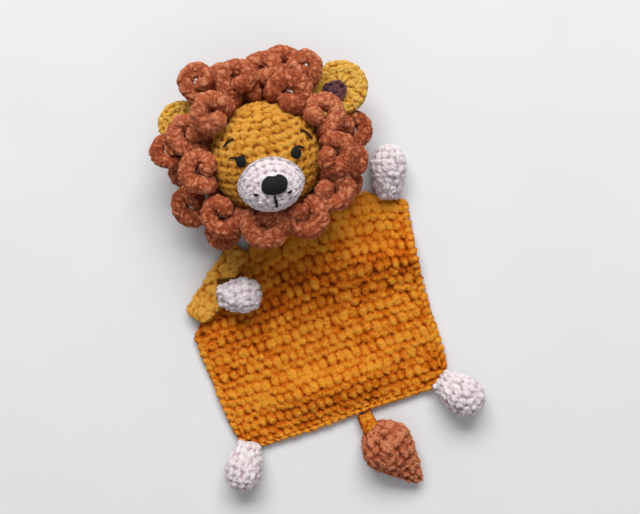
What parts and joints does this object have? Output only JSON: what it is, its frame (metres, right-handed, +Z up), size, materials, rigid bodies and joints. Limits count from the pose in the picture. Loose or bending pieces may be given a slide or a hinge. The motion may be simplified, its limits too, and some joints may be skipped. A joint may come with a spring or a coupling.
{
  "type": "comfort blanket lovey",
  "caption": "Crocheted lion comfort blanket: stuffed head with a curled mane on a small waved blanket with stuffed paws at its corners and a tufted tail.",
  "frame": {"origin": "bottom centre of the bounding box, on the surface that the toy lies on", "axes": "+Y from the tail towards the crown of the head, +X to the right of the face, +Z up out of the face"},
  "size_m": [0.2554, 0.4372, 0.1113],
  "materials": {
    "mustard_chenille": "crocheted velvet yarn, matt pile",
    "rust_chenille": "crocheted velvet yarn, matt pile",
    "lilac_chenille": "crocheted velvet yarn, matt pile",
    "plum_chenille": "crocheted velvet yarn, matt pile",
    "black_yarn": "matt cotton yarn",
    "fibrefill": "loose polyester fibre"
  },
  "bodies": {
    "blanket": {"blanket": "mustard_chenille"},
    "left_arm": {"blanket_left_arm": "mustard_chenille"},
    "left_arm_paw": {"paw_left_arm_shell": "lilac_chenille", "paw_left_arm_filling": "fibrefill"},
    "top_right_paw": {"paw_top_right_shell": "lilac_chenille", "paw_top_right_filling": "fibrefill"},
    "bottom_right_paw": {"paw_bottom_right_shell": "lilac_chenille", "paw_bottom_right_filling": "fibrefill"},
    "bottom_left_paw": {"paw_bottom_left_shell": "lilac_chenille", "paw_bottom_left_filling": "fibrefill"},
    "tail": {"tail_root": "mustard_chenille"},
    "tuft": {"tail_tuft": "rust_chenille", "tail_filling": "fibrefill"},
    "head": {"ear_inner_left": "plum_chenille", "ear_inner_right": "plum_chenille", "ear_left": "mustard_chenille", "ear_right": "mustard_chenille", "eye_left": "black_yarn", "eye_right": "black_yarn", "eyebrow_left": "black_yarn", "eyebrow_right": "black_yarn", "eyelash_left": "black_yarn", "eyelash_right": "black_yarn", "head_filling": "fibrefill", "head_shell": "mustard_chenille", "mane_band": "rust_chenille", "mane_curl_back_1": "rust_chenille", "mane_curl_back_10": "rust_chenille", "mane_curl_back_11": "rust_chenille", "mane_curl_back_2": "rust_chenille", "mane_curl_back_3": "rust_chenille", "mane_curl_back_4": "rust_chenille", "mane_curl_back_5": "rust_chenille", "mane_curl_back_6": "rust_chenille", "mane_curl_back_7": "rust_chenille", "mane_curl_back_8": "rust_chenille", "mane_curl_back_9": "rust_chenille", "mane_curl_front_1": "rust_chenille", "mane_curl_front_10": "rust_chenille", "mane_curl_front_11": "rust_chenille", "mane_curl_front_12": "rust_chenille", "mane_curl_front_2": "rust_chenille", "mane_curl_front_3": "rust_chenille", "mane_curl_front_4": "rust_chenille", "mane_curl_front_5": "rust_chenille", "mane_curl_front_6": "rust_chenille", "mane_curl_front_7": "rust_chenille", "mane_curl_front_8": "rust_chenille", "mane_curl_front_9": "rust_chenille", "mouth_corner_left": "black_yarn", "mouth_corner_right": "black_yarn", "mouth_thread": "black_yarn", "muzzle_filling": "fibrefill", "muzzle_shell": "lilac_chenille", "nose": "black_yarn"}
  },
  "joints": [
    {"name": "neck_nod", "type": "hinge", "parent": "blanket", "child": "head", "pos_m": [0.00271, 0.06453, 0.031], "axis": [1, 0, 0], "range_deg": [-30, 4]},
    {"name": "arm_fold", "type": "hinge", "parent": "blanket", "child": "left_arm", "pos_m": [-0.1094, -0.00792, 0.007], "axis": [-0.7793, -0.6266, 0], "range_deg": [0, 140]},
    {"name": "left_arm_paw_lift", "type": "hinge", "parent": "left_arm", "child": "left_arm_paw", "pos_m": [-0.08132, 0.00597, 0.01435], "axis": [-0.2588, -0.9659, 0], "range_deg": [0, 60]},
    {"name": "top_right_paw_lift", "type": "hinge", "parent": "blanket", "child": "top_right_paw", "pos_m": [0.09969, 0.04264, 0.007], "axis": [0.9613, -0.2756, 0], "range_deg": [0, 60]},
    {"name": "bottom_right_paw_lift", "type": "hinge", "parent": "blanket", "child": "bottom_right_paw", "pos_m": [0.0917, -0.13252, 0.007], "axis": [-0.809, -0.5878, 0], "range_deg": [0, 80]},
    {"name": "bottom_left_paw_lift", "type": "hinge", "parent": "blanket", "child": "bottom_left_paw", "pos_m": [-0.09665, -0.13394, 0.007], "axis": [-0.8746, 0.4848, 0], "range_deg": [0, 80]},
    {"name": "tail_lift", "type": "hinge", "parent": "blanket", "child": "tail", "pos_m": [0.01307, -0.1423, 0.014], "axis": [-0.9781, -0.2079, 0], "range_deg": [0, 90]},
    {"name": "tuft_swing", "type": "hinge", "parent": "tail", "child": "tuft", "pos_m": [0.01619, -0.15697, 0], "axis": [0, 0, 1], "range_deg": [-20, 20]}
  ]
}
